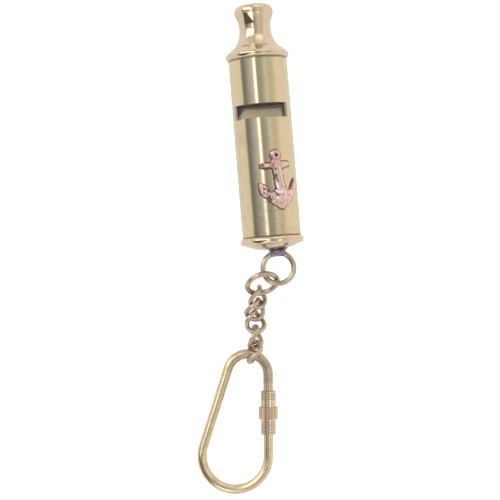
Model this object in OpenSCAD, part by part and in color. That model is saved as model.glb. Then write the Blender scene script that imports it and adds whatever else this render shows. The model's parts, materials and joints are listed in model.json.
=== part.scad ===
// Police-pattern whistle on a key chain, brass, with a copper anchor badge.
// It lies on a table as it falls from the hand: +Z is up, the table is Z = 0, the whistle's
// axis runs along Y with the mouthpiece towards +Y, and the origin is the middle of the
// footprint. Each piece is drawn about its own natural origin and then laid in place.
// Pieces of the whistle are drawn upright, with the mouthpiece at the top, their front
// towards -Y and height 0 at the seam between barrel and end cap.

/* [Barrel] */
// Outer diameter of the barrel tube
barrel_d = 15; // [13:0.1:18]
// Wall of the barrel tube
barrel_wall = 0.5; // [0.4:0.05:0.8]
// Barrel that shows between the mouthpiece's collar and the end cap
barrel_l = 45.5; // [43:0.5:60]
// How far the barrel seats inside the collar and inside the end cap
barrel_seat = 1.2; // [0.8:0.1:1.4]

/* [Mouthpiece] */
// Diameter of the collar that grips the barrel; the whistle lies on it
collar_d = 16.3; // [15.9:0.1:19]
// Height of the collar
collar_h = 1.9; // [1.7:0.1:2.4]
// Diameter of the shoulder above the collar
shoulder_d = 13.8; // [12.8:0.1:14.4]
// Height of the shoulder
shoulder_h = 1.1; // [0.8:0.1:1.4]
// Diameter of the thin ring above the shoulder
step_d = 11.6; // [11.2:0.1:12.2]
// Height of the thin ring
step_h = 0.3; // [0.2:0.1:0.6]
// Diameter of the waist
waist_d = 8.1; // [7.6:0.1:9.2]
// Height of the waist's narrowest place above the collar's underside
waist_z = 8; // [7.6:0.1:8.6]
// Radius of the waist's hollow curve
waist_r = 7.4; // [6.8:0.1:8]
// Diameter of the lip
lip_d = 10; // [9.6:0.1:10.6]
// Radius of the lip's rounded edge
lip_r = 1.7; // [1.2:0.1:2]
// Height of the whole mouthpiece
mouthpiece_h = 14.1; // [13.4:0.1:15]
// Bore that the breath goes through
breath_bore_d = 4.6; // [3.6:0.1:5.4]

/* [Window] */
// From the collar's underside to the window's top edge
window_drop = 11.9; // [10:0.1:14]
// Height of the window
window_h = 3.65; // [2.5:0.05:4]
// How deep the window cuts into the tube
window_depth = 4; // [2.8:0.1:4.6]
// Turn of the windows away from straight up, with the whistle lying on the table
window_turn = -4; // [-20:1:20]

/* [Air ways] */
// Height of the slit that leads the breath to each window
windway_h = 1.1; // [0.8:0.1:1.6]
// Thickness of the plate that parts the two chambers
divider_t = 0.8; // [0.6:0.1:1.2]
// Length of the shorter chamber below its window
short_chamber_l = 17; // [12:0.5:24]
// Thickness of the stop that ends the shorter chamber
stop_t = 1.2; // [0.8:0.1:2]

/* [Anchor badge] */
// Height of the anchor
anchor_h = 15.6; // [13:0.1:18]
// Width of the anchor across its flukes, measured straight
anchor_w = 10.6; // [9:0.1:12]
// Thickness of the badge
anchor_t = 1; // [0.6:0.1:1.4]
// From the collar's underside to the badge's top
anchor_drop = 23.4; // [20:0.1:26]
// Turn of the badge round the barrel away from straight up
anchor_turn = 20; // [0:1:40]
// Slant of the badge on the barrel
anchor_slant = 4.5; // [0:0.5:10]
// Width of the shank just under the stock
shank_w = 2.4; // [1.8:0.1:2.8]
// Length of the stock
stock_l = 7.6; // [6:0.1:8.4]
// Height of the stock
stock_h = 1.5; // [1:0.1:1.8]
// Outer diameter of the eye
eye_d = 3.2; // [2.8:0.1:3.6]
// Hole of the eye
eye_hole_d = 0.9; // [0.6:0.1:1.4]

/* [End cap] */
// Diameter of the end cap's bead; the whistle lies on it
cap_d = 16.3; // [15.9:0.1:19]
// Height of the end cap from the seam to its crown
cap_h = 3.4; // [3:0.1:4]
// Radius of the bead round the rim
bead_r = 1; // [0.8:0.05:1.1]
// Wall of the cap
cap_wall = 0.8; // [0.6:0.05:1]

/* [Bow ring and jump ring] */
// Outer diameter of the ring that is soldered to the cap
bow_d = 9.3; // [8:0.1:12]
// Outer diameter of the loose ring that hangs in it
jump_d = 9.3; // [8:0.1:12]
// Wire of both rings
ring_wire = 1.4; // [1:0.05:1.7]
// Distance of the bow ring's middle from the whistle's axis
bow_offset = 1; // [0:0.1:2]
// Width of the solder where it meets the bow ring
solder_w = 3.5; // [3:0.1:4.4]
// Width of the solder's skirt on the cap
solder_skirt_w = 4.9; // [4.5:0.1:6.4]

/* [Chain] */
// Length of a link over its wire
link_l = 6.65; // [6.5:0.05:8]
// Width of a link over its wire, before it is twisted
link_w = 6.25; // [5.8:0.05:7]
// Wire of the links
link_wire = 1.26; // [1:0.02:1.4]
// Twist from one end of a link to the other
link_twist = 89; // [70:1:95]

/* [Clasp] */
// Wire of the clasp
clasp_wire_d = 2.5; // [2:0.05:2.8]
// Radius of the clasp's top bend, to the middle of the wire
clasp_top_r = 5.3; // [5:0.1:7]
// Radius of the clasp's bottom bend, to the middle of the wire
clasp_bottom_r = 8.6; // [8:0.1:11]
// Distance between the middles of the two bends
clasp_span = 21.3; // [21:0.1:28]

/* [Screw gate] */
// From the end of the top bend to the closed sleeve
gate_drop = 4.2; // [4:0.1:5]
// Diameter of the sleeve
sleeve_d = 3.95; // [3.7:0.05:4.6]
// Length of the sleeve that shows
sleeve_l = 4.1; // [3.6:0.1:4.6]
// Diameter of the fluted nut
nut_d = 5; // [4.8:0.05:6]
// Length of the fluted nut
nut_l = 3.2; // [3:0.1:3.8]
// Number of flutes round the nut
nut_flutes = 16; // [10:1:20]
// Diameter of the fixed ferrule below the nut
ferrule_d = 3.9; // [3.7:0.05:4.6]
// Length of the fixed ferrule
ferrule_l = 4; // [3:0.1:4.6]
// Length of the threaded stud that stands out of the ferrule
stud_l = 1.5; // [1:0.1:1.9]
// How far the gate slides open
gate_travel = 4; // [3:0.1:4]

/* [Fits] */
// Gap all round between a turning or sliding piece and what it runs on
running_gap = 0.05; // [0.03:0.01:0.08]
// Least gap between two links that hang in each other
link_gap = 0.1; // [0.1:0.05:0.4]

/* [Hidden] */

$fn = 96;

BRASS = "#b5a05a";
AGED_BRASS = "#94835a";
COPPER = "#b9785f";
SOLDER = "#3c3a38";

// Overlap of a cutting tool past the face that it cuts
through = 1;

barrel_r = barrel_d / 2;
bore_r = barrel_r - barrel_wall;
window_top = barrel_l - window_drop;
window_z = window_top - window_h;

// Mouthpiece, in heights above the collar's underside
stem_z = collar_h + shoulder_h + step_h;
lip_z = mouthpiece_h - lip_r;
flare_inset = 0.1;
edge_r = collar_h / 2;
plenum_ledge = 0.5;
plenum_h = 5;
bore_chamfer = 0.4;

// Clear height between the windway block and the mouthpiece
block_inset = 1;
// How much further the block's flats stand back at the top than at the window
block_taper = 0.8;

// Anchor, in heights from the badge's middle
eye_z = (anchor_h - eye_d) / 2;
stock_drop = 2.6;
stock_z = eye_z - stock_drop;
shank_spread = 0.15;
crown_z = -anchor_h / 2;
crown_half = 0.5;
arm_bend = [2.5, -6.3];
fluke_heel = [anchor_w / 2 - 0.8, -4.4];
fluke_back = [anchor_w / 2, -2.3];
fluke_tip = [anchor_w / 2 - 0.1, -0.1];
fluke_root = [2.9, -2.4];
throat = [2.25, -2.25];
throat_r = 0.95;

// End cap
cap_r = cap_d / 2;
dome_r = cap_r - bead_r;
dome_rise = cap_h - 2 * bead_r;
dome_curve = (dome_r * dome_r + dome_rise * dome_rise) / (2 * dome_rise);

// Rings, in the whistle's upright frame
bow_r = (bow_d - ring_wire) / 2;
bow_clear = 0.05;
bow_z = -cap_h - bow_clear - bow_d / 2;
solder_t = 2.4;
// How far the solder reaches past the ring's wire, into the cap's dome and up its skirt
solder_over = 0.2;
solder_end = bow_z + bow_r - ring_wire / 2 - solder_over;
solder_root = 1;
skirt_lift = 0.2;
jump_r = (jump_d - ring_wire) / 2;

// Links
link_a = (link_l - link_wire) / 2;
link_b = (link_w - link_wire) / 2;
link_rings = 40;
link_sides = 16;

// Clasp
leg_lean = asin((clasp_bottom_r - clasp_top_r) / clasp_span);
leg_l = clasp_span * cos(leg_lean);
wire_r = clasp_wire_d / 2;
gate_bore_r = wire_r + running_gap;
// The bends are a hair thicker than the straight wire, which runs a little way into them
bend_swell = 0.01;
bend_lap = 0.1;

// Screw gate, in lengths down the right leg from the end of the top bend
nut_u = gate_drop + sleeve_l;
ferrule_u = nut_u + nut_l;
wire_end_u = ferrule_u - running_gap - gate_travel;
stud_root = 2;
neck_wall = 0.32;
neck_l = 0.65;
flange_l = 0.5;
flange_out = 0.25;
flute_depth = 0.2;
flute_r = 0.36;
groove_w = 0.28;
groove_depth = 0.14;
groove_step = 0.62;
sleeve_grooves = 3;
ferrule_grooves = 5;
end_chamfer = 0.25;

// How each loose piece lies, as turns about X, Y and Z, and the play between it and
// the piece that it hangs in
whistle_h = collar_d / 2;
bow_seat_angle = 256;
jump_turn = [53, 17, 0];
jump_top_angle = 27;
jump_low_angle = -89;
jump_play = 0.15;
link_turns = [[17, 52, 2], [22, 40, -4], [-11, 32, -8], [18, 71, 14], [16, -68, -38]];
link_play = [0.25, 0.65, 0.65, 0.15, 0.1];
clasp_turn = [1.7, -3, -13.4];
clasp_seat_angle = 3;
clasp_play = 0;

// A vector turned as rotate() turns a shape
function about_x(v, a) = [v.x, v.y * cos(a) - v.z * sin(a), v.y * sin(a) + v.z * cos(a)];
function about_y(v, a) = [v.x * cos(a) + v.z * sin(a), v.y, v.z * cos(a) - v.x * sin(a)];
function about_z(v, a) = [v.x * cos(a) - v.y * sin(a), v.x * sin(a) + v.y * cos(a), v.z];
function turned(v, a) = about_z(about_y(about_x(v, a.x), a.y), a.z);

// Square to two crossing wires, towards the inside of the first one's loop
function between(wire_1, wire_2, inside) =
    let (square = cross(wire_1, wire_2))
    square / norm(square) * sign(square * inside);

// A point of a ring and the way its wire runs there
function on_ring(a) = [cos(a), sin(a), 0];
function along_ring(a) = [-sin(a), cos(a), 0];

// Places are measured from the seam of barrel and cap, with height from the table
bow_at = [bow_offset, bow_z, whistle_h];
bow_seat = bow_at + bow_r * on_ring(bow_seat_angle);
jump_top = bow_seat + (ring_wire + jump_play) * between(
    along_ring(bow_seat_angle), turned(along_ring(jump_top_angle), jump_turn), bow_at - bow_seat);
jump_at = jump_top - jump_r * turned(on_ring(jump_top_angle), jump_turn);
jump_seat = jump_at + jump_r * turned(on_ring(jump_low_angle), jump_turn);

// Link i hangs by its top bar in the bottom bar of the one before, link 0 in the jump ring
function link_reach(i) = turned([0, link_a, 0], link_turns[i]);
function top_bar(i) = turned([cos(link_twist / 2), 0, -sin(link_twist / 2)], link_turns[i]);
function low_bar(i) = turned([cos(link_twist / 2), 0, sin(link_twist / 2)], link_turns[i]);
function seat_at(i) = i < 0 ? jump_seat : link_at(i) - link_reach(i);
function seat_bar(i) = i < 0 ? turned(along_ring(jump_low_angle), jump_turn) : low_bar(i);
function seat_inside(i) = i < 0 ? jump_at - jump_seat : link_reach(i);
function seat_wire(i) = i < 0 ? ring_wire : link_wire;
function link_top(i) =
    seat_at(i - 1) + ((seat_wire(i - 1) + link_wire) / 2 + link_gap + link_play[i])
        * between(seat_bar(i - 1), top_bar(i), seat_inside(i - 1));
function link_at(i) = link_top(i) - link_reach(i);

last_link = len(link_turns) - 1;
clasp_seat = [sin(clasp_seat_angle), cos(clasp_seat_angle), 0];
clasp_bar = [cos(clasp_seat_angle), -sin(clasp_seat_angle), 0];
clasp_top = seat_at(last_link) + ((link_wire + clasp_wire_d) / 2 + link_gap + clasp_play)
    * between(seat_bar(last_link), turned(clasp_bar, clasp_turn), seat_inside(last_link));
clasp_at = clasp_top - clasp_top_r * turned(clasp_seat, clasp_turn);

// The footprint's middle becomes the origin
clasp_foot = clasp_at + turned([0, -clasp_span, 0], clasp_turn);
foot_reach = clasp_bottom_r + wire_r;
x_low = clasp_foot.x - foot_reach;
x_high = whistle_h;
y_low = clasp_foot.y - foot_reach;
y_high = barrel_l + mouthpiece_h;
seam = -[(x_low + x_high) / 2, (y_low + y_high) / 2, 0];

// Lays a piece of the upright whistle on the table
module lay_whistle() {
    translate(seam + [0, 0, whistle_h]) rotate([-90, 0, 0]) children();
}

// Lays a piece of the clasp, drawn flat with the middle of its top bend at the origin
module lay_clasp() {
    translate(seam + clasp_at) rotate(clasp_turn) children();
}

// Puts a piece on the clasp's right leg, its +Z down the leg from the end of the top bend
module on_leg() {
    translate(clasp_top_r * on_ring(leg_lean)) rotate([90, 0, leg_lean]) children();
}

// A ring of round wire, flat round the origin
module wire_ring(r, wire) {
    rotate_extrude() translate([r, 0]) circle(d = wire);
}

// Part of a bend of round wire, from one angle to another
module wire_bend(r, wire, from, to) {
    rotate([0, 0, from]) rotate_extrude(angle = to - from) translate([r, 0]) circle(d = wire);
}

// Row of turned grooves round a pin of radius r, the first one at height z
module grooves(r, z, count) {
    for (i = [0 : count - 1])
        translate([0, 0, z + i * groove_step])
            rotate_extrude() translate([r - groove_depth, 0]) square([groove_depth + through, groove_w]);
}

module mouthpiece_profile() {
    rim = [collar_d / 2 - edge_r, edge_r];
    shoulder = [shoulder_d / 2 - edge_r, collar_h + shoulder_h - edge_r];
    slope = (shoulder - rim) / norm(shoulder - rim);
    out = edge_r * [slope.y, -slope.x];
    square([rim.x, collar_h]);
    translate(rim) circle(edge_r);
    square([shoulder.x, shoulder.y + edge_r]);
    translate(shoulder) circle(edge_r);
    polygon([rim, rim + out, shoulder + out, shoulder]);
    translate([0, collar_h]) square([step_d / 2, shoulder_h + step_h]);
    difference() {
        union() {
            translate([0, stem_z]) square([step_d / 2 - flare_inset, waist_z - stem_z]);
            translate([0, waist_z]) square([lip_d / 2, lip_z - waist_z]);
        }
        translate([waist_d / 2 + waist_r, waist_z]) circle(waist_r);
    }
    translate([lip_d / 2 - lip_r, lip_z]) circle(lip_r);
    translate([0, lip_z]) square([lip_d / 2 - lip_r, lip_r]);
}

// Turned mouthpiece, bored for the breath and hollowed where it spreads to the two slits
module mouthpiece() {
    color(BRASS) lay_whistle() translate([0, 0, barrel_l]) difference() {
        rotate_extrude() intersection() {
            mouthpiece_profile();
            square([collar_d, mouthpiece_h]);
        }
        translate([0, 0, -through]) cylinder(r = barrel_r, h = barrel_seat + through);
        cylinder(d = breath_bore_d, h = mouthpiece_h + through);
        translate([0, 0, barrel_seat])
            cylinder(r1 = bore_r - plenum_ledge, r2 = breath_bore_d / 2, h = plenum_h);
        translate([0, 0, mouthpiece_h - bore_chamfer])
            cylinder(
                r1 = breath_bore_d / 2, r2 = breath_bore_d / 2 + bore_chamfer + through,
                h = bore_chamfer + through);
    }
}

// Barrel tube with a window sawn into each side
module barrel() {
    color(BRASS) lay_whistle() difference() {
        translate([0, 0, -barrel_seat]) cylinder(r = barrel_r, h = barrel_l + 2 * barrel_seat);
        translate([0, 0, -barrel_seat - through])
            cylinder(r = bore_r, h = barrel_l + 2 * barrel_seat + 2 * through);
        for (side = [0, 180])
            rotate([0, 0, window_turn + side])
                translate([-barrel_r, -barrel_r - through, window_z])
                    cube([barrel_d, window_depth + through, window_h]);
    }
}

// Plug above the windows, its two flats leaving a slit that leads to each window's edge
module windway_block() {
    flat_y = bore_r - windway_h;
    block_h = window_drop - block_inset;
    color(BRASS) lay_whistle() rotate([0, 0, window_turn]) translate([0, 0, window_top])
        intersection() {
            cylinder(r = bore_r, h = block_h);
            rotate([90, 0, 90]) translate([0, 0, -barrel_r]) linear_extrude(barrel_d)
                polygon([
                    [-flat_y, 0], [flat_y, 0],
                    [flat_y - block_taper, block_h], [block_taper - flat_y, block_h]
                ]);
        }
}

// Plate down the middle that parts the chambers
module divider_plate() {
    color(AGED_BRASS) lay_whistle() rotate([0, 0, window_turn]) translate([0, 0, -barrel_seat])
        intersection() {
            cylinder(r = bore_r, h = window_top + barrel_seat);
            translate([-barrel_r, -divider_t / 2, 0])
                cube([barrel_d, divider_t, window_top + barrel_seat]);
        }
}

// Half disc that ends the back chamber early, which gives it the higher note
module high_note_stop() {
    color(AGED_BRASS) lay_whistle() rotate([0, 0, window_turn])
        translate([0, 0, window_z - short_chamber_l - stop_t])
            intersection() {
                cylinder(r = bore_r, h = stop_t);
                translate([-barrel_r, divider_t / 2, 0]) cube([barrel_d, barrel_r, stop_t]);
            }
}

// One arm of the anchor with its fluke
module anchor_arm() {
    difference() {
        polygon([
            [-crown_half, crown_z], [crown_half, crown_z], arm_bend, fluke_heel, fluke_back, fluke_tip,
            fluke_root, [-crown_half, fluke_root.y]
        ]);
        translate(throat) circle(throat_r);
    }
}

module anchor_eye() {
    difference() {
        translate([0, eye_z]) circle(d = eye_d);
        translate([0, eye_z]) circle(d = eye_hole_d);
    }
}

module anchor_shank() {
    polygon([
        [-shank_w / 2, stock_z + stock_h], [shank_w / 2, stock_z + stock_h],
        [shank_w / 2 + shank_spread, fluke_heel.y], [-shank_w / 2 - shank_spread, fluke_heel.y]
    ]);
}

// The anchor as a block as deep as the barrel is wide
module anchor_block() {
    linear_extrude(barrel_d) anchor_eye();
    linear_extrude(barrel_d) anchor_shank();
    translate([(stock_h - stock_l) / 2, stock_z - stock_h / 2, 0])
        cube([stock_l - stock_h, stock_h, barrel_d]);
    for (side = [0, 1])
        mirror([side, 0, 0]) {
            translate([(stock_l - stock_h) / 2, stock_z, 0]) cylinder(d = stock_h, h = barrel_d);
            linear_extrude(barrel_d) anchor_arm();
        }
}

// Anchor that hugs the barrel
module anchor_badge() {
    middle_z = barrel_l - anchor_drop - anchor_h / 2;
    color(COPPER) lay_whistle() rotate([0, 0, anchor_turn]) translate([0, 0, middle_z])
        difference() {
            intersection() {
                translate([0, 0, -anchor_h]) cylinder(r = barrel_r + anchor_t, h = 2 * anchor_h);
                rotate([90, -anchor_slant, 0]) anchor_block();
            }
            translate([0, 0, -anchor_h - through])
                cylinder(r = barrel_r, h = 2 * anchor_h + 2 * through);
        }
}

// Outside of the end cap, as a half section under the seam
module cap_profile() {
    translate([0, -2 * bead_r]) square([dome_r, 2 * bead_r]);
    translate([dome_r, -bead_r]) circle(bead_r);
    intersection() {
        translate([0, dome_curve - cap_h]) circle(dome_curve);
        translate([0, -cap_h]) square([dome_r, cap_h - bead_r]);
    }
}

// Domed cap with a bead, pushed over the barrel's end
module end_cap() {
    color(BRASS) lay_whistle() difference() {
        rotate_extrude() cap_profile();
        translate([0, 0, -barrel_seat]) cylinder(r = barrel_r, h = barrel_seat + through);
        rotate_extrude() intersection() {
            translate([0, dome_curve - cap_h]) circle(dome_curve - cap_wall);
            translate([0, -cap_h]) square([bore_r - plenum_ledge, cap_h]);
        }
    }
}

module bow_ring_shape() {
    translate([bow_offset, 0, bow_z]) rotate([90, 0, 0]) wire_ring(bow_r, ring_wire);
}

// Ring soldered to the cap
module bow_ring() {
    color(AGED_BRASS) lay_whistle() bow_ring_shape();
}

// Solder that has run from the cap round the top of the bow ring
module ring_solder() {
    fillet_r = (solder_skirt_w - solder_w) / 2;
    fillet_z = skirt_lift - cap_h - fillet_r;
    root_z = solder_root - cap_h;
    color(SOLDER) lay_whistle() difference() {
        intersection() {
            translate([bow_offset, 0, 0]) rotate_extrude() difference() {
                translate([0, solder_end]) square([solder_skirt_w / 2, root_z - solder_end]);
                translate([solder_skirt_w / 2, fillet_z]) circle(fillet_r);
                translate([solder_w / 2, solder_end - through])
                    square([fillet_r + through, fillet_z - solder_end + through]);
            }
            translate([-solder_skirt_w, -solder_t / 2, solder_end])
                cube([2 * solder_skirt_w, solder_t, root_z - solder_end]);
        }
        rotate_extrude() cap_profile();
        bow_ring_shape();
    }
}

// Loose ring that joins the chain to the bow ring
module jump_ring() {
    color(AGED_BRASS) translate(seam + jump_at) rotate(jump_turn) wire_ring(jump_r, ring_wire);
}

// Middle of a link's wire at angle t: an oval whose ends are twisted against each other
function link_point(t) =
    about_y([link_b * cos(t), link_a * sin(t), 0], link_twist / 2 * sin(t));
function link_along(t) =
    let (step = link_point(t + 1) - link_point(t - 1))
    step / norm(step);
// Point on the wire's skin at angle s round the wire
function link_skin(t, s) =
    let (
        along = link_along(t),
        flat = about_y([0, 0, 1], link_twist / 2 * sin(t)),
        up = flat - (flat * along) * along,
        rise = up / norm(up),
        out = cross(along, rise)
    )
    link_point(t) + link_wire / 2 * (cos(s) * out + sin(s) * rise);

// Twisted oval link of round wire
module chain_link(i) {
    points = [
        for (ring = [0 : link_rings - 1], side = [0 : link_sides - 1])
            link_skin(ring * 360 / link_rings, side * 360 / link_sides)
    ];
    faces = [
        for (ring = [0 : link_rings - 1], side = [0 : link_sides - 1])
            let (
                ring_2 = (ring + 1) % link_rings,
                side_2 = (side + 1) % link_sides,
                a = ring * link_sides + side,
                b = ring * link_sides + side_2,
                c = ring_2 * link_sides + side_2,
                d = ring_2 * link_sides + side
            )
            each [[a, b, c], [a, c, d]]
    ];
    color(AGED_BRASS) translate(seam + link_at(i)) rotate(link_turns[i])
        polyhedron(points, faces, convexity = 6);
}
module chain_link_1() { chain_link(0); }
module chain_link_2() { chain_link(1); }
module chain_link_3() { chain_link(2); }
module chain_link_4() { chain_link(3); }
module chain_link_5() { chain_link(4); }

// Pear-shaped wire loop, open in its right leg where the gate closes it
module clasp_wire() {
    lower_u = ferrule_u + stud_root;
    bend_d = clasp_wire_d + 2 * bend_swell;
    color(AGED_BRASS) lay_clasp() {
        wire_bend(clasp_top_r, bend_d, leg_lean, 180 - leg_lean);
        translate([0, -clasp_span, 0])
            wire_bend(clasp_bottom_r, bend_d, 180 - leg_lean, 360 + leg_lean);
        mirror([1, 0, 0]) on_leg() translate([0, 0, -bend_lap])
            cylinder(r = wire_r, h = leg_l + 2 * bend_lap);
        on_leg() translate([0, 0, -bend_lap]) cylinder(r = wire_r, h = wire_end_u + bend_lap);
        on_leg() translate([0, 0, lower_u]) cylinder(r = wire_r, h = leg_l - lower_u + bend_lap);
    }
}

// Sleeve that slides on the upper leg; the nut turns on its flanged neck
module gate_sleeve() {
    neck_r = gate_bore_r + neck_wall;
    color(BRASS) lay_clasp() on_leg() translate([0, 0, gate_drop]) difference() {
        union() {
            translate([0, 0, end_chamfer]) cylinder(d = sleeve_d, h = sleeve_l - end_chamfer);
            cylinder(d1 = sleeve_d - 2 * end_chamfer, d2 = sleeve_d, h = end_chamfer);
            cylinder(r = neck_r, h = sleeve_l + neck_l);
            translate([0, 0, sleeve_l + neck_l]) cylinder(r = neck_r + flange_out, h = flange_l);
        }
        grooves(sleeve_d / 2, groove_step, sleeve_grooves);
        translate([0, 0, -through])
            cylinder(r = gate_bore_r, h = sleeve_l + neck_l + flange_l + 2 * through);
    }
}

// Fluted nut that screws down on the stud
module lock_nut() {
    neck_bore_r = gate_bore_r + neck_wall + running_gap;
    lip_l = neck_l - 2 * running_gap;
    flange_room = flange_l + 2 * running_gap;
    body_l = nut_l - 2 * running_gap;
    color(BRASS) lay_clasp() on_leg() translate([0, 0, nut_u + running_gap]) difference() {
        cylinder(d = nut_d, h = body_l);
        for (i = [0 : nut_flutes - 1])
            rotate([0, 0, i * 360 / nut_flutes])
                translate([nut_d / 2 - flute_depth + flute_r, 0, -through])
                    cylinder(r = flute_r, h = body_l + 2 * through);
        translate([0, 0, -through]) cylinder(r = neck_bore_r, h = lip_l + through);
        translate([0, 0, lip_l]) cylinder(r = neck_bore_r + flange_out, h = flange_room);
        cylinder(r = gate_bore_r, h = body_l + through);
    }
}

// Ferrule fixed to the lower leg
module lower_ferrule() {
    color(BRASS) lay_clasp() on_leg() translate([0, 0, ferrule_u]) difference() {
        union() {
            cylinder(d = ferrule_d, h = ferrule_l - end_chamfer);
            translate([0, 0, ferrule_l - end_chamfer])
                cylinder(d1 = ferrule_d, d2 = ferrule_d - 2 * end_chamfer, h = end_chamfer);
        }
        grooves(ferrule_d / 2, groove_step, ferrule_grooves);
        translate([0, 0, -through]) cylinder(r = wire_r, h = ferrule_l + 2 * through);
    }
}

// Stud that the nut screws on, rooted in the ferrule against the wire's end
module thread_stud() {
    color(BRASS) lay_clasp() on_leg() translate([0, 0, ferrule_u - stud_l]) {
        cylinder(r1 = wire_r - end_chamfer, r2 = wire_r, h = end_chamfer);
        translate([0, 0, end_chamfer]) cylinder(r = wire_r, h = stud_l + stud_root - end_chamfer);
    }
}

mouthpiece();
barrel();
windway_block();
divider_plate();
high_note_stop();
anchor_badge();
end_cap();
ring_solder();
bow_ring();
jump_ring();
chain_link_1();
chain_link_2();
chain_link_3();
chain_link_4();
chain_link_5();
clasp_wire();
gate_sleeve();
lock_nut();
lower_ferrule();
thread_stud();
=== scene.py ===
"""Whistle on a key chain: brass, with a copper anchor on its tube."""

import json
from math import cos, pi, radians, sin, sqrt

import bmesh
import bpy
import numpy as np
from mathutils import Matrix, Vector, noise


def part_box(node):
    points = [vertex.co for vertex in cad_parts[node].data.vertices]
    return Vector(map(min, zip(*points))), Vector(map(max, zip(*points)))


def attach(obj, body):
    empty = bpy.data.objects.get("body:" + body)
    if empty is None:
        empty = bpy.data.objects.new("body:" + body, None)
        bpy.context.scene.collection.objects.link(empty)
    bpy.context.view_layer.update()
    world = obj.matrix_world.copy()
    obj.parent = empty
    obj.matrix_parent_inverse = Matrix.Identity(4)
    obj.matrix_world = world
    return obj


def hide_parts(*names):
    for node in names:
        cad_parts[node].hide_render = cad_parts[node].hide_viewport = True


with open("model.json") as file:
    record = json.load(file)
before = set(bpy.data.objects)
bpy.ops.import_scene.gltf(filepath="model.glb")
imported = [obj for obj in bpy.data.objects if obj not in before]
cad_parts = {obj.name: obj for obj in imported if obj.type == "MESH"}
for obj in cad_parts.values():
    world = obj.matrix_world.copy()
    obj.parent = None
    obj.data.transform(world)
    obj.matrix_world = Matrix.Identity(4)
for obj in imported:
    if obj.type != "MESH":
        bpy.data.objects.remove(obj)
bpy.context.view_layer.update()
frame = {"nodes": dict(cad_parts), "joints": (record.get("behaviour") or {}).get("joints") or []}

MM = 0.001

# Measures from the frame: the seam is where the whistle's axis, along Y, leaves the cap
tube_low, tube_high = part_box("barrel")
_, cap_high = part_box("end_cap")
mouth_low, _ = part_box("mouthpiece")
_, plate_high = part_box("divider_plate")
_, clasp_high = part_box("clasp_wire")
seam = Vector(((tube_low.x + tube_high.x) / 2, cap_high.y, (tube_low.z + tube_high.z) / 2))
tube_r = (tube_high.z - tube_low.z) / 2 / MM
nut_turn = next(joint for joint in frame["joints"] if joint["name"] == "lock_nut_turn")
gate_axis = Vector(nut_turn["axis"]).normalized()
on_gate_axis = Vector(nut_turn["pos_m"])

# Linear colours of the metals and of what lies on them
BRASS = (0.67, 0.54, 0.335)
OLIVE_BRASS = (0.43, 0.36, 0.235)
ROSE_BRASS = (0.67, 0.535, 0.36)
CLASP_BRASS = (0.705, 0.565, 0.355)
GATE_BRASS = (0.72, 0.555, 0.385)
RING_BRASS = (0.57, 0.46, 0.335)
CHAIN_BRASS = (0.58, 0.46, 0.34)
PLATE_BRASS = (0.77, 0.65, 0.41)
TARNISH = (0.15, 0.11, 0.075)
# Blue-grey of the painted shade and grime on the plate behind the windows
SLATE_SHADE_AND_GRIME = (0.29, 0.28, 0.31)
COPPER = (0.80, 0.54, 0.48)
DARK_COPPER = (0.22, 0.12, 0.105)
SOLDER = (0.42, 0.37, 0.41)
SOLDER_GRIME = (0.12, 0.10, 0.11)
FLUX = (0.16, 0.12, 0.09)
BURNT_FLUX = (0.05, 0.04, 0.035)
WHITE = (1.0, 1.0, 1.0)

# How fine a pattern is along X, Y and Z, where Y is the whistle's axis and 0 leaves one out
EVEN = (1.0, 1.0, 1.0)
DRAWN = (1.0, 0.05, 1.0)
LATHE_RINGS = (0.15, 1.0, 0.15)
SCRATCHED_ACROSS = (0.1, 1.0, 0.1)
FROM_ABOVE = (1.0, 1.0, 0.0)
ALONG_AXIS = (1.0, 0.0, 1.0)


class Value:
    """A number on its way between shader nodes, so that sums are written as sums."""

    def __init__(self, finish, socket):
        self.finish = finish
        self.socket = socket

    def maths(self, operation, first, second=0.0):
        return self.finish.node("ShaderNodeMath", {"operation": operation}, [first, second])

    def __add__(self, other):
        return self.maths("ADD", self, other)

    def __radd__(self, other):
        return self.maths("ADD", other, self)

    def __sub__(self, other):
        return self.maths("SUBTRACT", self, other)

    def __rsub__(self, other):
        return self.maths("SUBTRACT", other, self)

    def __mul__(self, other):
        return self.maths("MULTIPLY", self, other)

    def __rmul__(self, other):
        return self.maths("MULTIPLY", other, self)

    def __abs__(self):
        return self.maths("ABSOLUTE", self)

    def least(self, other):
        return self.maths("MINIMUM", self, other)

    def most(self, other):
        return self.maths("MAXIMUM", self, other)

    def step(self, low, high):
        """0 below low, 1 above high, and smooth between them; low may be the larger."""
        if low < high:
            inputs = [self, low, high, 0.0, 1.0]
        else:
            inputs = [self, high, low, 1.0, 0.0]
        settings = {"interpolation_type": "SMOOTHSTEP"}
        return self.finish.node("ShaderNodeMapRange", settings, inputs)

    def band(self, out_low, in_low, in_high, out_high):
        """1 between the two inner bounds, and 0 beyond the outer ones."""
        return self.step(out_low, in_low) * self.step(out_high, in_high)


def fill_ramp(ramp, stops):
    """Sets a colour ramp's stops, each a place and a colour."""
    while len(ramp.elements) < len(stops):
        ramp.elements.new(0.5)
    for element, (place, colour) in zip(ramp.elements, stops):
        element.position = place
        element.color = (*colour, 1.0)


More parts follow.
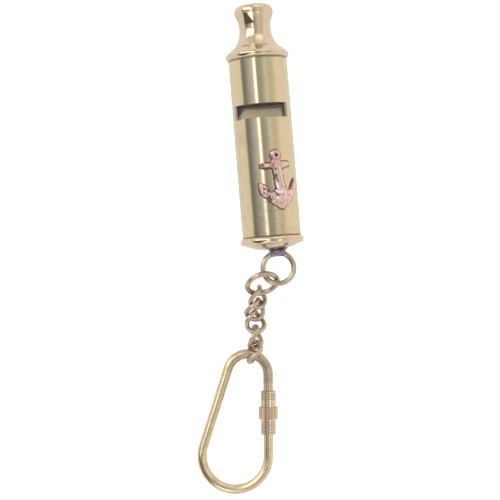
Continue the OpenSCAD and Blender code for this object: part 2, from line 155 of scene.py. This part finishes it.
class Finish:
    """The nodes of one material or world."""

    def __init__(self, owner):
        owner.use_nodes = True
        self.owner = owner
        self.tree = owner.node_tree

    def node(self, kind, settings=None, inputs=(), output=0):
        """A node with its settings, then its inputs by place or by name; gives one output."""
        made = self.tree.nodes.new(kind)
        for name, value in (settings or {}).items():
            if name == "stops":
                fill_ramp(made.color_ramp, value)
            else:
                setattr(made, name, value)
        pairs = inputs.items() if isinstance(inputs, dict) else enumerate(inputs)
        for key, value in pairs:
            self.feed(made.inputs[key], value)
        return Value(self, made.outputs[output])

    def feed(self, socket, value):
        """Links a Value to a socket, or writes a plain number, place or colour on it."""
        if isinstance(value, Value):
            self.tree.links.new(value.socket, socket)
        elif isinstance(value, tuple) and len(value) == 3 and len(socket.default_value) == 4:
            socket.default_value = (*value, 1.0)
        else:
            socket.default_value = value

    def mixed(self, share, first, second):
        """Two colours mixed by share, through the Mix node's sockets for colours."""
        inputs = {0: share, 6: first, 7: second}
        return self.node("ShaderNodeMix", {"data_type": "RGBA"}, inputs, output=2)

    def vectors(self, operation, *inputs, output="Vector"):
        """Vector maths on places or directions."""
        return self.node("ShaderNodeVectorMath", {"operation": operation}, inputs, output)

    def split(self, vector):
        """The X, Y and Z of a vector."""
        first = self.node("ShaderNodeSeparateXYZ", inputs=[vector])
        return [Value(self, socket) for socket in first.socket.node.outputs]

    def place(self, scale=EVEN):
        """The object's own coordinates, in millimetres times scale."""
        made = self.node("ShaderNodeTexCoord", output="Object")
        size = tuple(share / MM for share in scale)
        inputs = {"Vector": made, "Scale": size}
        return self.node("ShaderNodeMapping", {"vector_type": "POINT"}, inputs)

    def cloud(self, scale, detail=4.0, roughness=0.6, stretch=EVEN):
        """Soft noise between 0 and 1, with scale features to the millimetre."""
        inputs = {
            "Vector": self.place(stretch),
            "Scale": scale,
            "Detail": detail,
            "Roughness": roughness,
        }
        return self.node("ShaderNodeTexNoise", inputs=inputs)

    def principled(self, colour, roughness, metallic=1.0, bump=None, strength=0.2, depth=0.02):
        """Feeds the material's Principled shader; bump is a height, depth millimetres at 1."""
        shader = self.tree.nodes["Principled BSDF"]
        self.feed(shader.inputs["Base Color"], colour)
        self.feed(shader.inputs["Roughness"], roughness)
        self.feed(shader.inputs["Metallic"], metallic)
        if bump is not None:
            inputs = {"Strength": strength, "Distance": depth * MM, "Height": bump}
            relief = self.node("ShaderNodeBump", inputs=inputs)
            self.feed(shader.inputs["Normal"], relief)
        return self.owner


def new_finish(name):
    return Finish(bpy.data.materials.new(name))


def barrel_brass():
    """Polished tube: draw lines, tarnish in clouds, dark ends, front scuffed dull near the cap."""
    made = new_finish("polished_brass_tube")
    x, y, _ = made.split(made.place())
    scuff_middle = seam.x / MM - 0.9
    tube_seen = (mouth_low.y - seam.y) / MM
    above_cap = y - seam.y / MM
    clouds = made.cloud(0.16)
    mottles = made.cloud(0.9, detail=3.0).step(0.5, 0.7)
    lines = made.cloud(2.2, detail=3.0, roughness=0.5, stretch=DRAWN)
    specks = made.cloud(1.3, detail=2.0, roughness=0.7).step(0.66, 0.74)
    pits = made.cloud(4.5, detail=1.0, roughness=0.5).step(0.69, 0.76)
    scratches = made.cloud(2.6, detail=2.0, roughness=0.5, stretch=SCRATCHED_ACROSS).step(0.5, 0.68)
    near_cap = above_cap.step(26.0, 4.0)
    scuffed = abs(x - scuff_middle).step(3.2, 1.2) * near_cap
    at_cap = above_cap.step(0.5, 0.08)
    at_collar = above_cap.step(tube_seen - 0.7, tube_seen - 0.08)
    stain = clouds.step(0.5, 0.78) * 0.35 + mottles * near_cap * 0.4 + specks * 0.25
    stain = stain + scuffed * 0.4 + scuffed * scratches * 0.4
    stain = (stain + lines.step(0.45, 0.8) * 0.1).least(1.0)
    dark = (at_cap * 0.85).most(at_collar * 0.8).most(pits * 0.4)
    colour = made.mixed(stain, BRASS, OLIVE_BRASS)
    colour = made.mixed(dark, colour, TARNISH)
    roughness = 0.1 + stain * 0.14 + dark * 0.25
    relief = lines * 0.6 + clouds * 0.4
    return made.principled(colour, roughness, bump=relief, strength=0.12, depth=0.01)


def turned_brass():
    """Lathe-turned brass: bright on the outside, with tarnish in clouds and a few pits."""
    made = new_finish("turned_brass")
    clouds = made.cloud(0.35)
    rings = made.cloud(3.0, detail=2.0, roughness=0.5, stretch=LATHE_RINGS)
    pits = made.cloud(3.6, detail=1.0, roughness=0.5).step(0.68, 0.76)
    stain = clouds.step(0.46, 0.78) * 0.3 + rings.step(0.5, 0.9) * 0.12
    colour = made.mixed(stain, ROSE_BRASS, OLIVE_BRASS)
    colour = made.mixed(pits * 0.5, colour, TARNISH)
    roughness = 0.12 + stain * 0.2 + pits * 0.2
    relief = rings * 0.7 + clouds * 0.3
    return made.principled(colour, roughness, bump=relief, strength=0.12, depth=0.01)


def full_radius(node):
    """The largest distance of a node's surface from the gate's axis, in millimetres."""
    vertices = frame["nodes"][node].data.vertices
    return max((vert.co - on_gate_axis).cross(gate_axis).length for vert in vertices) / MM


def grooved_brass(node, shade_and_grime_share):
    """Turned brass of the gate, dark brown below its full radius: grime and painted shade in its
    grooves, flutes, chamfers and end faces.
    """
    made = new_finish(node + "_brass")
    clouds = made.cloud(0.6)
    grain = made.cloud(3.0, detail=2.0)
    offset = made.vectors("SUBTRACT", made.place(), tuple(on_gate_axis / MM))
    offset = made.vectors("CROSS_PRODUCT", offset, tuple(gate_axis))
    radius = made.vectors("LENGTH", offset, output="Value")
    # Painted shade and grime: darker wherever the surface lies below its full radius
    grime_and_shade = (radius - full_radius(node)).step(-0.03, -0.1)
    stain = clouds.step(0.45, 0.7) * 0.35 + grain.step(0.5, 0.8) * 0.15
    colour = made.mixed(stain, GATE_BRASS, OLIVE_BRASS)
    colour = made.mixed(grime_and_shade * shade_and_grime_share, colour, TARNISH)
    roughness = 0.15 + stain * 0.15 + grime_and_shade * 0.25
    return made.principled(colour, roughness, bump=clouds, strength=0.1, depth=0.01)


def aged_wire(name, base, polish, wear, dark_bend=None):
    """Drawn brass wire that has dulled: brown in patches, darkest round dark_bend."""
    made = new_finish(name)
    clouds = made.cloud(0.42, roughness=0.62)
    grain = made.cloud(3.4, detail=3.0)
    stain = clouds.step(0.42, 0.66) * wear + grain.step(0.45, 0.8) * 0.1
    if dark_bend is not None:
        bend = (dark_bend.x / MM, dark_bend.y / MM, 0.0)
        away = made.vectors("DISTANCE", made.place(FROM_ABOVE), bend, output="Value")
        stain = stain + away.step(11.0, 4.0) * 0.55
    stain = stain.least(1.0)
    spots = made.cloud(1.9, detail=2.0).step(0.64, 0.76) * 0.6
    colour = made.mixed(stain, base, OLIVE_BRASS)
    colour = made.mixed((stain * stain * 0.4).most(spots * 0.5), colour, TARNISH)
    roughness = polish + stain * 0.14 + spots * 0.12
    return made.principled(colour, roughness, bump=clouds, strength=0.04, depth=0.01)


def cast_copper():
    """Copper casting: pink where it is rubbed, brown in patches and along its foot."""
    made = new_finish("cast_copper")
    on_axis = (seam.x / MM, 0.0, seam.z / MM)
    from_axis = made.vectors("DISTANCE", made.place(ALONG_AXIS), on_axis, output="Value")
    foot = (from_axis - tube_r).step(0.62, 0.14)
    clouds = made.cloud(0.9)
    grain = made.cloud(5.0, detail=3.0)
    stain = clouds.step(0.48, 0.8) * 0.5 + grain.step(0.5, 0.85) * 0.15
    colour = made.mixed(stain.most(foot * 0.85), COPPER, DARK_COPPER)
    roughness = 0.17 + stain * 0.25 + foot * 0.2
    return made.principled(colour, roughness, bump=grain, strength=0.2, depth=0.03)


def dull_solder():
    """Solder that has gone dark, lumpy and grey with a violet cast."""
    made = new_finish("dark_solder")
    clouds = made.cloud(1.1)
    grain = made.cloud(6.0, detail=3.0)
    colour = made.mixed(clouds.step(0.35, 0.65), SOLDER_GRIME, SOLDER)
    roughness = 0.36 + grain * 0.2
    relief = grain * 0.3 + clouds * 0.7
    return made.principled(colour, roughness, metallic=0.8, bump=relief, strength=0.3, depth=0.05)


def flux_stain():
    """Brown stain that soldering has left."""
    made = new_finish("flux_stain")
    clouds = made.cloud(2.2, detail=3.0)
    colour = made.mixed(clouds.step(0.35, 0.7), BURNT_FLUX, FLUX)
    roughness = 0.5 + clouds * 0.2
    return made.principled(colour, roughness, metallic=0.6, bump=clouds, strength=0.3, depth=0.02)


def inner_brass():
    """Brass inside the whistle and the gate, which is never polished."""
    made = new_finish("inner_brass")
    clouds = made.cloud(0.5)
    colour = made.mixed(clouds.step(0.35, 0.75), OLIVE_BRASS, TARNISH)
    roughness = 0.4 + clouds * 0.2
    return made.principled(colour, roughness, metallic=0.9, bump=clouds, strength=0.3, depth=0.03)


def divider_brass():
    """Plate behind the windows: wiped olive in the open, blue-grey painted shade and grime under
    the block's edge, in the lower left corner and at the right end.
    """
    made = new_finish("divider_brass")
    x, y, _ = made.split(made.place())
    across = x - seam.x / MM
    below = plate_high.y / MM - y
    clouds = made.cloud(1.2)
    ragged = (clouds - 0.5) * 0.9
    # Painted shade, with some grime: under the block along the top, in the lower left corner and at
    # the right end
    at_top = (below - across * 0.05 + ragged).step(1.05, 0.4)
    in_corner = (across + below * 0.9 + ragged).step(-3.4, -4.2)
    at_right = (across + ragged).step(4.9, 5.5)
    grime_and_shade = (at_top * 0.8).most(in_corner).most(at_right)
    colour = made.mixed(clouds.step(0.3, 0.8) * 0.5, PLATE_BRASS, OLIVE_BRASS)
    colour = made.mixed(grime_and_shade, colour, SLATE_SHADE_AND_GRIME)
    roughness = 0.32 + grime_and_shade * 0.2
    metallic = 0.55 - grime_and_shade * 0.2
    return made.principled(colour, roughness, metallic, bump=clouds, strength=0.2, depth=0.02)


def paint(piece, material):
    """Gives a piece one material all over."""
    piece.data.materials.clear()
    piece.data.materials.append(material)


# Upper right bend of the clasp, in from the corner of its box
clasp_bend = clasp_high - Vector((3.5, 4.0, 0)) * MM

tube_finish = barrel_brass()
turned_finish = turned_brass()
# Share of painted shade and grime in each gate part's grooves, flutes, chamfers and ends
sleeve_finish = grooved_brass("gate_sleeve", shade_and_grime_share=0.45)
nut_finish = grooved_brass("lock_nut", shade_and_grime_share=0.25)
ferrule_finish = grooved_brass("lower_ferrule", shade_and_grime_share=0.4)
ring_finish = aged_wire("ring_brass", RING_BRASS, polish=0.24, wear=0.6)
chain_finish = aged_wire("chain_brass", CHAIN_BRASS, polish=0.25, wear=0.7)
clasp_finish = aged_wire("clasp_brass", CLASP_BRASS, polish=0.2, wear=0.3, dark_bend=clasp_bend)
copper_finish = cast_copper()
solder_finish = dull_solder()
flux_finish = flux_stain()
inner_finish = inner_brass()
divider_finish = divider_brass()

# Finish of each node but the chain's links
FINISHES = {
    "mouthpiece": turned_finish,
    "barrel": tube_finish,
    "windway_block": inner_finish,
    "divider_plate": divider_finish,
    "high_note_stop": inner_finish,
    "anchor_badge": copper_finish,
    "end_cap": turned_finish,
    "ring_solder": solder_finish,
    "bow_ring": ring_finish,
    "jump_ring": ring_finish,
    "clasp_wire": clasp_finish,
    "gate_sleeve": sleeve_finish,
    "lock_nut": nut_finish,
    "lower_ferrule": ferrule_finish,
    "thread_stud": inner_finish,
}
for name, node in frame["nodes"].items():
    paint(node, FINISHES.get(name, chain_finish))


def add_piece(name, mesh, body, slot, material, *stands_for):
    """A new piece from a mesh in the object's frame, on its body; its slot is not used."""
    piece = bpy.data.objects.new(name, mesh)
    bpy.context.scene.collection.objects.link(piece)
    paint(piece, material)
    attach(piece, body)
    if stands_for:
        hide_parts(*stands_for)


def smooth(mesh, crease=180):
    """Smooth shading, with edges sharper than crease degrees kept crisp."""
    mesh.polygons.foreach_set("use_smooth", [True] * len(mesh.polygons))
    bm = bmesh.new()
    bm.from_mesh(mesh)
    for edge in bm.edges:
        edge.smooth = len(edge.link_faces) < 2 or edge.calc_face_angle(0.0) < radians(crease)
    bm.to_mesh(mesh)
    bm.free()


def merged_copy(node):
    """A CAD node's solid as a bmesh, with its loose triangles joined."""
    bm = bmesh.new()
    bm.from_mesh(frame["nodes"][node].data)
    bmesh.ops.remove_doubles(bm, verts=bm.verts, dist=0.002 * MM)
    return bm


def as_mesh(bm, name):
    """The bmesh as a mesh, with its faces pointing outwards."""
    bmesh.ops.recalc_face_normals(bm, faces=bm.faces)
    mesh = bpy.data.meshes.new(name)
    bm.to_mesh(mesh)
    bm.free()
    return mesh


def fused(mesh, voxel):
    """One skin round everything in a mesh, as a casting has, rebuilt in voxels of that size."""
    holder = bpy.data.objects.new("holder", mesh)
    bpy.context.scene.collection.objects.link(holder)
    remesh = holder.modifiers.new("skin", "REMESH")
    remesh.mode = "VOXEL"
    remesh.voxel_size = voxel
    ready = holder.evaluated_get(bpy.context.evaluated_depsgraph_get())
    skin = bpy.data.meshes.new_from_object(ready)
    bpy.data.objects.remove(holder)
    return skin


def worn(bm, rounds):
    """Rounds off edges as wear does, a little more with each round."""
    for _ in range(rounds):
        bmesh.ops.smooth_vert(
            bm, verts=bm.verts, factor=0.5, use_axis_x=True, use_axis_y=True, use_axis_z=True
        )


# Anchor, drawn flat in millimetres round the badge's middle: +Y up, +Z off the tube
ANCHOR_MIDDLE = 14.3
ANCHOR_TURN = radians(20)
ANCHOR_SLANT = radians(4.5)
ANCHOR_VOXEL = 0.06
ROOT = -0.25
EYE = Vector((0.2, 6.0))
EYE_R = 1.42
EYE_TOP_R = 0.95
EYE_EDGE = 0.3
EYE_TOP = 0.85
HOLE = Vector((0.3, 5.95))
HOLE_R = 0.48
HOLE_DEEP = 0.9
HOLE_FLOOR = 0.04
DENT = 0.14
DENT_SCALE = 0.85
DENT_SINK = 0.3
DENT_ABOVE = 0.2
# Each plate: outline, height of its upright edge, height of its top and width of its slope
PLATES = {
    "shank": (
        [(-0.95, 4.6), (1.25, 4.6), (1.4, 2.0), (1.9, -3.4), (-1.05, -3.4), (-1.0, 2.0)],
        0.35, 1.0, 0.85,
    ),
    "hub": (
        [(-1.15, 2.5), (1.4, 2.5), (1.35, 5.0), (-1.1, 5.0)],
        0.3, 1.05, 0.5,
    ),
    "left stock": (
        [(-3.3, 2.95), (-0.9, 2.7), (-0.9, 4.4), (-3.3, 4.3)],
        0.2, 0.75, 0.5,
    ),
    "left stock's tip": (
        [(-3.95, 3.15), (-3.2, 3.05), (-3.2, 4.1), (-3.95, 4.0)],
        0.1, 0.4, 0.25,
    ),
    "right stock": (
        [(1.0, 2.3), (2.1, 2.45), (3.65, 2.75), (3.75, 4.1), (2.1, 4.3), (1.0, 4.5)],
        0.15, 0.6, 0.45,
    ),
    "left fluke": (
        [(-4.45, -0.3), (-4.9, -0.9), (-4.7, -3.2), (-3.8, -3.7), (-2.7, -2.4), (-3.1, -1.4)],
        0.35, 1.05, 0.6,
    ),
    "left fluke's foot": (
        [(-4.3, -2.6), (-4.45, -3.7), (-3.75, -4.6), (-2.8, -3.9), (-2.95, -2.6)],
        0.2, 0.75, 0.4,
    ),
    "left arm": (
        [(-3.5, -2.7), (-2.3, -3.15), (-1.3, -2.85), (-0.8, -5.3), (-1.5, -6.8),
         (-2.4, -6.1), (-3.5, -4.9)],
        0.25, 0.85, 0.7,
    ),
    "crown": (
        [(-1.9, -4.6), (1.9, -4.0), (1.75, -6.6), (0.15, -7.9), (-0.7, -7.5), (-1.9, -6.3)],
        0.25, 0.9, 0.6,
    ),
    "ridge of the crown": (
        [(-1.6, -2.7), (1.8, -3.0), (1.9, -5.4), (-1.5, -5.4)],
        0.62, 1.12, 0.95,
    ),
    "right arm": (
        [(1.2, -3.1), (2.3, -3.2), (3.6, -2.7), (4.7, -2.6), (4.5, -4.1), (2.9, -5.85),
         (1.5, -6.8)],
        0.3, 0.75, 0.45,
    ),
    "right fluke": (
        [(3.1, -2.9), (3.5, -1.9), (4.85, -0.1), (5.15, -2.3), (4.7, -3.6)],
        0.2, 0.95, 0.5,
    ),
}


def sloped_plate(bm, outline, edge, top, slope):
    """A plate with that outline, upright up to edge and sloping from there to its top."""
    corners = [bm.verts.new((x, y, ROOT)) for x, y in outline]
    face = bm.faces.new(corners)
    face.normal_update()
    if face.normal.z < 0:
        face.normal_flip()
    risen = bmesh.ops.extrude_face_region(bm, geom=[face])
    lid = [part for part in risen["geom"] if isinstance(part, bmesh.types.BMFace)]
    rim = [part for part in risen["geom"] if isinstance(part, bmesh.types.BMVert)]
    bmesh.ops.translate(bm, verts=rim, vec=(0, 0, edge - ROOT))
    bmesh.ops.inset_region(bm, faces=lid, thickness=slope, depth=top - edge, use_even_offset=True)


def eye_disc(bm, foot_r, top_r, low, high):
    """One step of the round eye at the top of the shank."""
    bmesh.ops.create_cone(
        bm, cap_ends=True, segments=32, radius1=foot_r, radius2=top_r, depth=high - low,
        matrix=Matrix.Translation((EYE.x, EYE.y, (low + high) / 2)),
    )


def flat_anchor():
    """The anchor as it comes from the mould, before it is bent round the tube."""
    bm = bmesh.new()
    for outline, edge, top, slope in PLATES.values():
        sloped_plate(bm, outline, edge, top, slope)
    overlap = 0.01
    eye_disc(bm, EYE_R, EYE_R, ROOT, EYE_EDGE)
    eye_disc(bm, EYE_R, EYE_TOP_R, EYE_EDGE - overlap, EYE_TOP)
    skin = fused(as_mesh(bm, "mould"), ANCHOR_VOXEL)
    bm = bmesh.new()
    bm.from_mesh(skin)
    worn(bm, 1)
    for vert in bm.verts:
        near = (Vector((vert.co.x, vert.co.y)) - HOLE).length / HOLE_R
        if near < 1 and vert.co.z > 0:
            vert.co.z = max(vert.co.z - HOLE_DEEP * sqrt(1 - near * near), HOLE_FLOOR)
        if vert.co.z > DENT_ABOVE:
            vert.co.z += DENT * (noise.noise(vert.co * DENT_SCALE) - DENT_SINK)
    worn(bm, 1)
    return bm


def upright(point):
    """A point of the upright whistle, in millimetres from the seam, to the frame."""
    return seam + Vector((point.x, point.z, -point.y)) * MM


def bent_round_tube(bm):
    """Bends the flat badge round the tube and puts it in its place."""
    turn = Matrix.Rotation(ANCHOR_TURN, 3, "Z")
    for vert in bm.verts:
        x = vert.co.x * cos(ANCHOR_SLANT) - vert.co.y * sin(ANCHOR_SLANT)
        z = vert.co.x * sin(ANCHOR_SLANT) + vert.co.y * cos(ANCHOR_SLANT)
        reach = tube_r + vert.co.z
        front = Vector((x, -sqrt(reach * reach - x * x), z + ANCHOR_MIDDLE))
        vert.co = upright(turn @ front)


anchor = flat_anchor()
flux = anchor.copy()
bent_round_tube(anchor)
anchor_mesh = as_mesh(anchor, "anchor")
smooth(anchor_mesh)
add_piece("anchor", anchor_mesh, "whistle", "copper", copper_finish, "anchor_badge")

# Flux and dirt that have stayed round the badge where it is soldered on
FLUX_OUT = 0.12
FLUX_THICK = 0.03
FLUX_RAGGED = 1.5
FLUX_SCALE = 1.6
flux.normal_update()
for vert in flux.verts:
    out = Vector((vert.normal.x, vert.normal.y, 0))
    vert.co += out * (FLUX_OUT * (1 + FLUX_RAGGED * noise.noise(vert.co * FLUX_SCALE)))
    vert.co.z = min(vert.co.z, FLUX_THICK)
bent_round_tube(flux)
flux_mesh = as_mesh(flux, "badge_flux")
smooth(flux_mesh, crease=60)
add_piece("badge_flux", flux_mesh, "whistle", "solder", flux_finish)

# Solder that has run between cap and bow ring, lumpy as it set
SOLDER_SPREAD = 1.18
SOLDER_VOXEL = 0.13 * MM
LUMP = 0.1 * MM
LUMP_SCALE = 0.9 / MM
LUMP_SWELL = 0.3
solder = bmesh.new()
solder.from_mesh(fused(as_mesh(merged_copy("ring_solder"), "solder"), SOLDER_VOXEL))
from_middle = Matrix.Translation((-seam.x, 0, 0))
bmesh.ops.scale(solder, verts=solder.verts, vec=(SOLDER_SPREAD, 1, 1), space=from_middle)
worn(solder, 6)
solder.normal_update()
for vert in solder.verts:
    vert.co += vert.normal * (LUMP * (noise.noise(vert.co * LUMP_SCALE) + LUMP_SWELL))
solder_mesh = as_mesh(solder, "solder_joint")
smooth(solder_mesh)
add_piece("solder_joint", solder_mesh, "whistle", "solder", solder_finish, "ring_solder")

# Score across the wire of a link or ring, where its ends meet
SEAM_WIDE = 0.09 * MM
SEAM_DEEP = 0.06 * MM
SEAM_REACH = 1.2 * MM


def butt_seam(bm, through, along):
    """Scores the seam where a ring's two wire ends meet, at a point in the wire."""
    # Four cuts through the wire, of which the outer two stay and the inner two sink
    for share in (-1, -0.5, 0.5, 1):
        geometry = bm.verts[:] + bm.edges[:] + bm.faces[:]
        place = through + along * (share * SEAM_WIDE)
        bmesh.ops.bisect_plane(bm, geom=geometry, dist=1e-7, plane_co=place, plane_no=along)
    for vert in bm.verts:
        offset = vert.co - through
        lengthwise = offset.dot(along)
        if abs(lengthwise) < SEAM_WIDE * 0.6 and offset.length < SEAM_REACH:
            vert.co -= (offset - along * lengthwise).normalized() * SEAM_DEEP


def main_axes(points):
    """The directions in which points spread, from the least to the most."""
    return np.linalg.eigh(np.cov((points - points.mean(axis=0)).T))[1].T


def scored_ring(node, name, material):
    """A ring or link as a piece of bent wire, its ends meeting in the middle of one side."""
    bm = merged_copy(node)
    points = np.array([vert.co for vert in bm.verts])
    middle = Vector(points.mean(axis=0))
    across = Vector(main_axes(points)[1])
    if across.x < 0:
        across.negate()
    reach = max((vert.co - middle).dot(across) for vert in bm.verts)
    edge = middle + across * reach
    close = np.array([vert.co for vert in bm.verts if (vert.co - edge).length < SEAM_REACH])
    butt_seam(bm, Vector(close.mean(axis=0)), Vector(main_axes(close)[2]))
    mesh = as_mesh(bm, name)
    smooth(mesh, crease=40)
    # A ring's body has the name of its node
    add_piece(name, mesh, node, "aged_brass", material, node)


scored_ring("jump_ring", "jump_ring_wire", ring_finish)
for number in range(1, 6):
    scored_ring(f"chain_link_{number}", f"link_wire_{number}", chain_finish)

# Thread of the stud that the nut turns on, in millimetres
THREAD_PITCH = 0.5
THREAD_DEEP = 0.16
THREAD_STEPS = 48
THREAD_VOXEL = 0.05


def screw_thread(node, name, material):
    """A thread cut into the gate's round stud, whose crests keep the stud's own radius."""
    full = full_radius(node)
    vertices = frame["nodes"][node].data.vertices
    heights = [(vert.co - on_gate_axis).dot(gate_axis) / MM for vert in vertices]
    low = min(heights)
    long = max(heights) - low
    root = full - THREAD_DEEP
    bm = bmesh.new()
    bmesh.ops.create_cone(
        bm, cap_ends=True, segments=64, radius1=root, radius2=root, depth=long,
        matrix=Matrix.Translation((0, 0, long / 2)),
    )
    half_ridge = THREAD_PITCH * 0.42
    foot = root - THREAD_DEEP
    corners = ((foot, 0, half_ridge), (full, 0, half_ridge * 2), (foot, 0, half_ridge * 3))
    profile = bm.faces.new([bm.verts.new(corner) for corner in corners])
    turns = int((long - half_ridge * 4) / THREAD_PITCH)
    bmesh.ops.spin(
        bm, geom=[profile], cent=(0, 0, 0), axis=(0, 0, 1),
        dvec=(0, 0, THREAD_PITCH / THREAD_STEPS), angle=2 * pi * turns, steps=THREAD_STEPS * turns,
    )
    mesh = fused(as_mesh(bm, name), THREAD_VOXEL)
    along_gate = gate_axis.to_track_quat("Z", "Y").to_matrix().to_4x4()
    to_place = Matrix.Translation(on_gate_axis + gate_axis * (low * MM)) @ along_gate
    mesh.transform(to_place @ Matrix.Scale(MM, 4))
    smooth(mesh)
    add_piece(name, mesh, "clasp", "polished_brass", material, node)


screw_thread("thread_stud", "screw_thread", inner_finish)

# Camera: almost straight above the table, turned with the whistle's lean in the picture
LEAN = radians(4.65)
PICTURE_RIGHT = Vector((cos(LEAN), -sin(LEAN), 0))
PICTURE_UP = Vector((sin(LEAN), cos(LEAN), 0))
VIEW_FROM = Vector((-5.6, -14.3, 418.15)) * MM
VIEW_AT = Vector((-5.6, -3.3, 8.15)) * MM
SENSOR = 36
# Focal length over the picture's width, both in pixels of the picture
FOCAL_SHARE = 1605 / 500


def from_seam(point):
    """A place measured from the seam along the picture's right and up, in the frame."""
    base = Vector((seam.x, seam.y, 0))
    return base + PICTURE_RIGHT * point.x + PICTURE_UP * point.y + Vector((0, 0, point.z))


camera_data = bpy.data.cameras.new("camera")
camera = bpy.data.objects.new("camera", camera_data)
bpy.context.scene.collection.objects.link(camera)
bpy.context.scene.camera = camera
camera_data.sensor_width = SENSOR
camera_data.lens = SENSOR * FOCAL_SHARE
camera_data.clip_start = 0.01
camera_data.clip_end = 10
back = (from_seam(VIEW_FROM) - from_seam(VIEW_AT)).normalized()
side = PICTURE_UP.cross(back).normalized()
facing = Matrix((side, back.cross(side), back)).transposed()
camera.matrix_world = Matrix.Translation(from_seam(VIEW_FROM)) @ facing.to_4x4()

# Pale table just under the object, white to the camera and dim in the brass
TABLE_HALF = 0.6
TABLE_DROP = 0.05 * MM
TABLE_COLOUR = (0.9, 0.9, 0.9)
TABLE_GLOW = 0.6
TABLE_MIRRORED = 0.2


def pale_table():
    """The table's material, which glows for the camera and a little in reflections."""
    made = new_finish("white_table")
    seen = made.node("ShaderNodeLightPath", output="Is Camera Ray")
    mirrored = made.node("ShaderNodeLightPath", output="Is Glossy Ray")
    strength = seen * TABLE_GLOW + mirrored * TABLE_MIRRORED
    glow = made.node("ShaderNodeEmission", inputs={"Color": WHITE, "Strength": strength})
    made.principled(TABLE_COLOUR, 0.6, metallic=0.0)
    shader = Value(made, made.tree.nodes["Principled BSDF"].outputs[0])
    both = made.node("ShaderNodeAddShader", inputs=[shader, glow])
    made.feed(made.tree.nodes["Material Output"].inputs["Surface"], both)
    return made.owner


bm = bmesh.new()
bmesh.ops.create_grid(bm, x_segments=1, y_segments=1, size=TABLE_HALF)
table_mesh = bpy.data.meshes.new("table")
bm.to_mesh(table_mesh)
bm.free()
table = bpy.data.objects.new("table", table_mesh)
bpy.context.scene.collection.objects.link(table)
table.location.z = -TABLE_DROP
paint(table, pale_table())

# Room: what the brass reflects, by degrees round the whistle's axis, where 0 is up and 90 right
ROOM = [
    (-180, (0.95, 0.97, 1.02)), (-77, (1.02, 1.0, 0.97)), (-69, (0.30, 0.32, 0.34)),
    (-60, (0.27, 0.30, 0.36)), (-53, (0.36, 0.41, 0.50)), (-40, (0.58, 0.64, 0.74)),
    (-28, (0.76, 0.81, 0.90)), (-22, (0.85, 0.90, 1.00)), (-19, (2.3, 2.4, 2.8)),
    (-13, (2.3, 2.3, 2.6)), (-9, (0.52, 0.54, 0.58)), (0, (0.46, 0.48, 0.51)),
    (5, (0.53, 0.56, 0.60)), (14, (0.62, 0.65, 0.70)), (20, (0.74, 0.78, 0.83)),
    (24, (0.88, 0.93, 0.98)), (29, (0.84, 0.88, 0.92)), (36, (0.77, 0.80, 0.79)),
    (47, (0.77, 0.78, 0.73)), (53, (0.82, 0.80, 0.75)), (61, (0.97, 0.94, 0.89)),
    (70, (1.06, 1.04, 1.01)), (180, (1.12, 1.10, 1.10)),
]
END_LIGHT = (1.0, 0.96, 0.98)
SHADE = (0.55, 0.57, 0.6)
WEDGE = (0.13, 0.115, 0.12)
PANE = (2.2, 2.2, 2.3)
# Slants of the patches below: SKEW is in degrees for 1 along, and the others in along for 1 degree
SKEW = 30
STEEP = 0.0087
GENTLE = 0.0016
SLIGHT = 0.001

world = bpy.data.worlds.new("room")
bpy.context.scene.world = world
room = Finish(world)
across, along, above = room.split(room.node("ShaderNodeTexCoord", output="Generated"))
share_round = across.maths("ARCTAN2", across, above) * (0.5 / pi) + 0.5
stops = [(degrees / 360 + 0.5, colour) for degrees, colour in ROOM]
bands = room.node("ShaderNodeValToRGB", {"stops": stops}, [share_round])
bands = room.mixed(abs(along).step(0.45, 0.85) * 0.8, bands, END_LIGHT)

# Patches that mouthpiece, cap and wires mirror, and that lie too far along for the tube
turn = (share_round - 0.5) * 360
lean = turn + along * SKEW
shade = turn.band(-28, -22, -12, -8) * along.step(0.17, 0.24).most(along.step(-0.16, -0.28))
wedge = turn.step(-80, -70) * lean.step(4, -8)
wedge = wedge * (along - lean * STEEP).step(-0.16, -0.06)
wedge = wedge * (along + lean * GENTLE).step(-0.08, -0.16) * along.step(-0.82, -0.74)
upper_pane = lean.band(-62, -52, 0, 8)
upper_pane = upper_pane * (along - lean * SLIGHT).step(0.22, 0.34) * along.step(0.74, 0.62)
lower_pane = turn.band(-54, -44, -12, -4) * (along - lean * STEEP).step(-0.06, -0.16)
lower_pane = lower_pane * along.band(-0.78, -0.68, -0.24, -0.14)
faint_pane = turn.band(-12, 14, 44, 76) * along.band(0.6, 0.72, 0.84, 0.97) * 0.45
bands = room.mixed(shade * 0.85, bands, SHADE)
bands = room.mixed(wedge, bands, WEDGE)
bands = room.mixed(upper_pane.most(lower_pane).most(faint_pane), bands, PANE)
sky = room.mixed(room.node("ShaderNodeLightPath", output="Is Camera Ray"), bands, WHITE)
room.feed(room.tree.nodes["Background"].inputs["Color"], sky)


def strip_lamp(name, over, up, turned, slanted, wide, long, glow):
    """A strip up millimetres from a point, turned about Y and then about Z, with that glow."""
    data = bpy.data.lights.new(name, "AREA")
    data.shape = "RECTANGLE"
    data.size = wide * MM
    data.size_y = long * MM
    data.energy = glow * pi * data.size * data.size_y
    strip = bpy.data.objects.new(name, data)
    bpy.context.scene.collection.objects.link(strip)
    aim = Matrix.Rotation(radians(slanted), 4, "Z") @ Matrix.Rotation(radians(turned), 4, "Y")
    strip.matrix_world = Matrix.Translation(over) @ aim @ Matrix.Translation((0, 0, up * MM))
    strip.visible_camera = False


# Two strips that only show as a bright line, on the gate and on the clasp's long leg
LEG_MIDDLE = Vector((-10.9, -42.0, 2.0)) * MM
strip_lamp("gate_strip", on_gate_axis, up=100, turned=29, slanted=0, wide=9, long=50, glow=2.6)
strip_lamp("leg_strip", LEG_MIDDLE, up=14, turned=-31, slanted=-25, wide=4, long=32, glow=1.5)

bpy.context.scene.view_settings.view_transform = "Standard"
